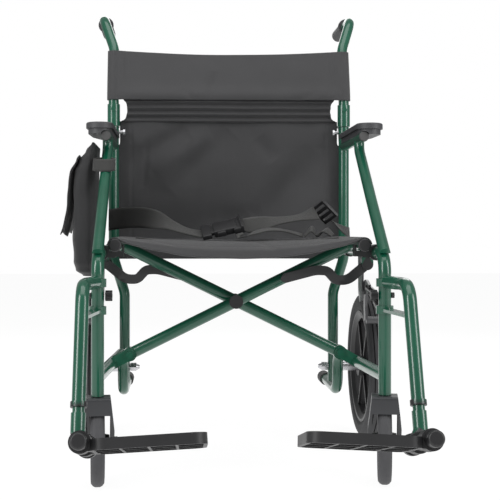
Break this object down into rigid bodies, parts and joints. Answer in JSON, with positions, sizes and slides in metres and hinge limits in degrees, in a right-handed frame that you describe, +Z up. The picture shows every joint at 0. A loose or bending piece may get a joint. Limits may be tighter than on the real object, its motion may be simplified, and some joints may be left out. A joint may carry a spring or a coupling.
{
  "type": "transport wheelchair",
  "caption": "Folding attendant-pushed wheelchair: green tube side frames, cross-brace, cloth seat and back, drop-down push handles, swing-away legrests.",
  "frame": {"origin": "on the floor under the middle of the chair's box", "axes": "+X to the right of a viewer in front, +Y to the back, +Z up"},
  "size_m": [0.642, 1.0749, 0.93],
  "materials": {
    "frame_paint": "gloss green enamel",
    "pad_plastic": "grained moulding",
    "cap_rubber": "matt",
    "black_plastic": "satin",
    "black_steel": "satin black",
    "grip_rubber": "matt",
    "bright_steel": "plated",
    "tyre_rubber": "matt",
    "caster_rubber": "matt",
    "fork_plastic": "satin",
    "footplate_plastic": "grained",
    "grey_steel": "satin",
    "upholstery": "coated nylon",
    "webbing": "woven strap",
    "bag_cloth": "coated nylon"
  },
  "bodies": {
    "frame_left": {"front_tube_left": "frame_paint", "rear_post_left": "frame_paint", "lower_rail_left": "frame_paint", "arm_frame_left": "frame_paint", "armrest_pad_left": "pad_plastic", "tube_caps_left": "cap_rubber", "seat_saddles_left": "black_plastic", "wheel_axle_left": "bright_steel", "hanger_knob_left": "black_plastic", "brake_mount_left": "grey_steel", "side_bag": "bag_cloth", "seat_belt": "webbing", "back_panel": "upholstery"},
    "frame_right": {"front_tube_right": "frame_paint", "rear_post_right": "frame_paint", "lower_rail_right": "frame_paint", "arm_frame_right": "frame_paint", "armrest_pad_right": "pad_plastic", "tube_caps_right": "cap_rubber", "seat_saddles_right": "black_plastic", "wheel_axle_right": "bright_steel", "hanger_knob_right": "black_plastic", "brake_mount_right": "grey_steel"},
    "brace_front": {"brace_front_bar": "frame_paint", "seat_rail_right": "frame_paint", "rail_caps_right": "black_plastic"},
    "brace_rear": {"brace_rear_bar": "frame_paint", "seat_rail_left": "frame_paint", "rail_caps_left": "black_plastic", "brace_pivot": "black_plastic", "seat_sling": "upholstery"},
    "link_left": {"link_left": "black_steel"},
    "cane_left": {"back_cane_left": "frame_paint", "hand_grip_left": "grip_rubber", "back_band": "upholstery"},
    "latch_left": {"back_latch_left": "bright_steel"},
    "rear_wheel_left": {"rear_tyre_left": "tyre_rubber", "rear_wheel_left": "black_plastic"},
    "caster_left": {"caster_fork_left": "fork_plastic"},
    "caster_wheel_left": {"caster_tyre_left": "caster_rubber", "caster_wheel_left": "black_plastic"},
    "legrest_left": {"hanger_left": "frame_paint", "footrest_arm_left": "frame_paint"},
    "footplate_left": {"footplate_left": "footplate_plastic"},
    "brake_left": {"brake_lever_left": "black_steel"},
    "shoe_left": {"brake_shoe_left": "grey_steel"},
    "link_right": {"link_right": "black_steel"},
    "cane_right": {"back_cane_right": "frame_paint", "hand_grip_right": "grip_rubber"},
    "latch_right": {"back_latch_right": "bright_steel"},
    "rear_wheel_right": {"rear_tyre_right": "tyre_rubber", "rear_wheel_right": "black_plastic"},
    "caster_right": {"caster_fork_right": "fork_plastic"},
    "caster_wheel_right": {"caster_tyre_right": "caster_rubber", "caster_wheel_right": "black_plastic"},
    "legrest_right": {"hanger_right": "frame_paint", "footrest_arm_right": "frame_paint"},
    "footplate_right": {"footplate_right": "footplate_plastic"},
    "brake_right": {"brake_lever_right": "black_steel"},
    "shoe_right": {"brake_shoe_right": "grey_steel"}
  },
  "joints": [
    {"name": "frame_fold", "type": "hinge", "parent": "frame_left", "child": "brace_front", "pos_m": [-0.201, 0.0375, 0.213], "axis": [0, -1, 0], "range_deg": [0, 48], "deforming": ["seat_sling", "back_panel", "back_band", "seat_belt"]},
    {"name": "brace_cross", "type": "hinge", "parent": "brace_front", "child": "brace_rear", "pos_m": [0, 0.0375, 0.312], "axis": [0, -1, 0], "range_deg": [-96, 0]},
    {"name": "frame_close", "type": "hinge", "parent": "brace_rear", "child": "frame_right", "pos_m": [0.201, 0.0375, 0.213], "axis": [0, -1, 0], "range_deg": [0, 48]},
    {"name": "link_swing_left", "type": "hinge", "parent": "frame_left", "child": "link_left", "pos_m": [-0.2475, 0.0645, 0.383], "axis": [0, -1, 0], "range_deg": [0, 69.12]},
    {"name": "back_fold", "type": "hinge", "parent": "frame_left", "child": "cane_left", "pos_m": [-0.2475, 0.3075, 0.672], "axis": [-1, 0, 0], "range_deg": [0, 125]},
    {"name": "latch_pull_left", "type": "slide", "parent": "frame_left", "child": "latch_left", "axis": [1, 0, 0], "range_m": [0, 0.006], "stiffness_N_per_m": 400},
    {"name": "wheel_spin_left", "type": "hinge", "parent": "frame_left", "child": "rear_wheel_left", "pos_m": [-0.2965, 0.2875, 0.155], "axis": [1, 0, 0], "continuous": true},
    {"name": "caster_swivel_left", "type": "hinge", "parent": "frame_left", "child": "caster_left", "pos_m": [-0.2475, -0.1625, 0.16], "axis": [0, 0, 1], "continuous": true},
    {"name": "caster_spin_left", "type": "hinge", "parent": "caster_left", "child": "caster_wheel_left", "pos_m": [-0.25081, -0.12464, 0.0775], "axis": [0.9962, 0.0872, 0], "continuous": true},
    {"name": "legrest_swing_left", "type": "hinge", "parent": "frame_left", "child": "legrest_left", "pos_m": [-0.2475, -0.1625, 0.3], "axis": [0, 0, -1], "range_deg": [0, 90]},
    {"name": "footplate_flip_left", "type": "hinge", "parent": "legrest_left", "child": "footplate_left", "pos_m": [-0.246, -0.3775, 0.12], "axis": [0, -0.9681, 0.2504], "range_deg": [0, 84]},
    {"name": "brake_left", "type": "hinge", "parent": "frame_left", "child": "brake_left", "pos_m": [-0.268, 0.1475, 0.327], "axis": [1, 0, 0], "range_deg": [0, 40]},
    {"name": "brake_shoe_left", "type": "hinge", "parent": "frame_left", "child": "shoe_left", "pos_m": [-0.268, 0.1475, 0.327], "axis": [1, 0, 0], "range_deg": [0, 20]},
    {"name": "link_swing_right", "type": "hinge", "parent": "frame_right", "child": "link_right", "pos_m": [0.2475, 0.0105, 0.383], "axis": [0, 1, 0], "range_deg": [0, 69.12]},
    {"name": "back_fold_right", "type": "hinge", "parent": "frame_right", "child": "cane_right", "pos_m": [0.2475, 0.3075, 0.672], "axis": [-1, 0, 0], "range_deg": [0, 125]},
    {"name": "latch_pull_right", "type": "slide", "parent": "frame_right", "child": "latch_right", "axis": [-1, 0, 0], "range_m": [0, 0.006], "stiffness_N_per_m": 400},
    {"name": "wheel_spin_right", "type": "hinge", "parent": "frame_right", "child": "rear_wheel_right", "pos_m": [0.2965, 0.2875, 0.155], "axis": [1, 0, 0], "continuous": true},
    {"name": "caster_swivel_right", "type": "hinge", "parent": "frame_right", "child": "caster_right", "pos_m": [0.2475, -0.1625, 0.16], "axis": [0, 0, 1], "continuous": true},
    {"name": "caster_spin_right", "type": "hinge", "parent": "caster_right", "child": "caster_wheel_right", "pos_m": [0.2541, -0.12508, 0.0775], "axis": [0.9848, -0.1736, 0], "continuous": true},
    {"name": "legrest_swing_right", "type": "hinge", "parent": "frame_right", "child": "legrest_right", "pos_m": [0.2475, -0.1625, 0.3], "axis": [0, 0, 1], "range_deg": [0, 90]},
    {"name": "footplate_flip_right", "type": "hinge", "parent": "legrest_right", "child": "footplate_right", "pos_m": [0.246, -0.3775, 0.12], "axis": [0, 0.9681, -0.2504], "range_deg": [0, 84]},
    {"name": "brake_right", "type": "hinge", "parent": "frame_right", "child": "brake_right", "pos_m": [0.268, 0.1475, 0.327], "axis": [1, 0, 0], "range_deg": [0, 40]},
    {"name": "brake_shoe_right", "type": "hinge", "parent": "frame_right", "child": "shoe_right", "pos_m": [0.268, 0.1475, 0.327], "axis": [1, 0, 0], "range_deg": [0, 20]}
  ],
  "couplings": [
    {"joint": "brace_cross", "follows": "frame_fold", "ratio": -2},
    {"joint": "frame_close", "follows": "frame_fold", "ratio": 1},
    {"joint": "link_swing_left", "follows": "frame_fold", "ratio": 1.44},
    {"joint": "footplate_flip_left", "follows": "frame_fold", "ratio": 1.75},
    {"joint": "brake_shoe_left", "follows": "brake_left", "ratio": 0.5},
    {"joint": "link_swing_right", "follows": "frame_fold", "ratio": 1.44},
    {"joint": "back_fold_right", "follows": "back_fold", "ratio": 1},
    {"joint": "footplate_flip_right", "follows": "frame_fold", "ratio": 1.75},
    {"joint": "brake_shoe_right", "follows": "brake_right", "ratio": 0.5}
  ]
}
